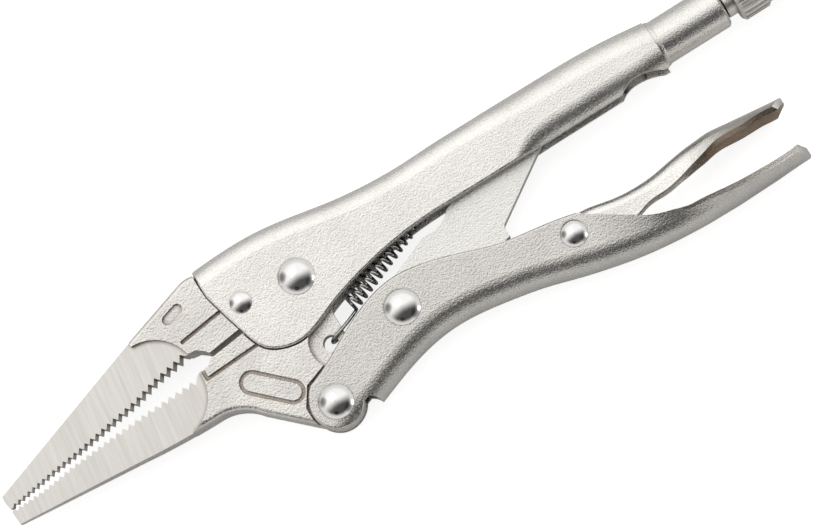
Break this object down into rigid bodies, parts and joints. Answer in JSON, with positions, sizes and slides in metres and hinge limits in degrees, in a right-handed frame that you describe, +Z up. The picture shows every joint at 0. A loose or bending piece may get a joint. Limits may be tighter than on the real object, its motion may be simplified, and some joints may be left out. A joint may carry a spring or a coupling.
{
  "type": "locking pliers",
  "caption": "Long-nose locking pliers with toothed jaws, a wire cutter, an over-centre toggle, a release lever and an adjusting screw.",
  "frame": {"origin": "on the jaw pivot's axis, at the flat under the pivot rivet's tail, where the tool rests when it lies on its side", "axes": "+X back along the adjusting screw, away from the jaws; +Y toward the upper handle; +Z up, along the rivets"},
  "size_m": [0.2371, 0.0577, 0.0161],
  "materials": {
    "upper_handle": "satin nickel plate, fine sandblasted grain",
    "fixed_jaw": "satin nickel-plated forging with ground nose faces",
    "lower_jaw": "satin nickel-plated forging with ground nose faces",
    "lower_handle": "satin nickel plate, fine sandblasted grain",
    "toggle_link": "satin nickel-plated stamping",
    "release_lever": "satin nickel plate, polished on its bends",
    "jaw_pivot_rivet": "polished dome",
    "handle_pivot_rivet": "polished dome",
    "link_pivot_rivet": "polished dome",
    "lever_rivet": "polished dome",
    "fixed_jaw_rivet": "polished dome",
    "adjusting_screw": "satin nickel-plated screw",
    "jaw_spring": "bright spring wire"
  },
  "bodies": {
    "upper_assembly": {"upper_handle": "upper_handle", "fixed_jaw": "fixed_jaw", "fixed_jaw_rivet": "fixed_jaw_rivet", "jaw_pivot_rivet": "jaw_pivot_rivet", "jaw_spring": "jaw_spring"},
    "lower_jaw": {"lower_jaw": "lower_jaw"},
    "lower_handle": {"lower_handle": "lower_handle", "handle_pivot_rivet": "handle_pivot_rivet", "link_pivot_rivet": "link_pivot_rivet", "lever_rivet": "lever_rivet"},
    "toggle_link": {"toggle_link": "toggle_link"},
    "release_lever": {"release_lever": "release_lever"},
    "adjusting_screw": {"adjusting_screw": "adjusting_screw"}
  },
  "joints": [
    {"name": "jaw_pivot", "type": "hinge", "parent": "upper_assembly", "child": "lower_jaw", "pos_m": [0, 0, 0.008], "axis": [0, 0, 1], "range_deg": [0, 24], "deforming": ["jaw_spring"]},
    {"name": "handle_pivot", "type": "hinge", "parent": "lower_jaw", "child": "lower_handle", "pos_m": [-0.0078, -0.031, 0.008], "axis": [0, 0, 1], "range_deg": [-69.6, 0]},
    {"name": "link_pivot", "type": "hinge", "parent": "lower_handle", "child": "toggle_link", "pos_m": [0.0177, -0.0201, 0.008], "axis": [0, 0, 1], "range_deg": [0, 72]},
    {"name": "lever_pivot", "type": "hinge", "parent": "lower_handle", "child": "release_lever", "pos_m": [0.0621, -0.0273, 0.008], "axis": [0, 0, 1], "range_deg": [-6, 0]},
    {"name": "screw_turn", "type": "hinge", "parent": "upper_assembly", "child": "adjusting_screw", "pos_m": [0.0749, 0.00187, 0.008], "axis": [1, 0, 0], "continuous": true}
  ],
  "couplings": [
    {"joint": "handle_pivot", "follows": "jaw_pivot", "ratio": -2.9},
    {"joint": "link_pivot", "follows": "jaw_pivot", "ratio": 3}
  ]
}
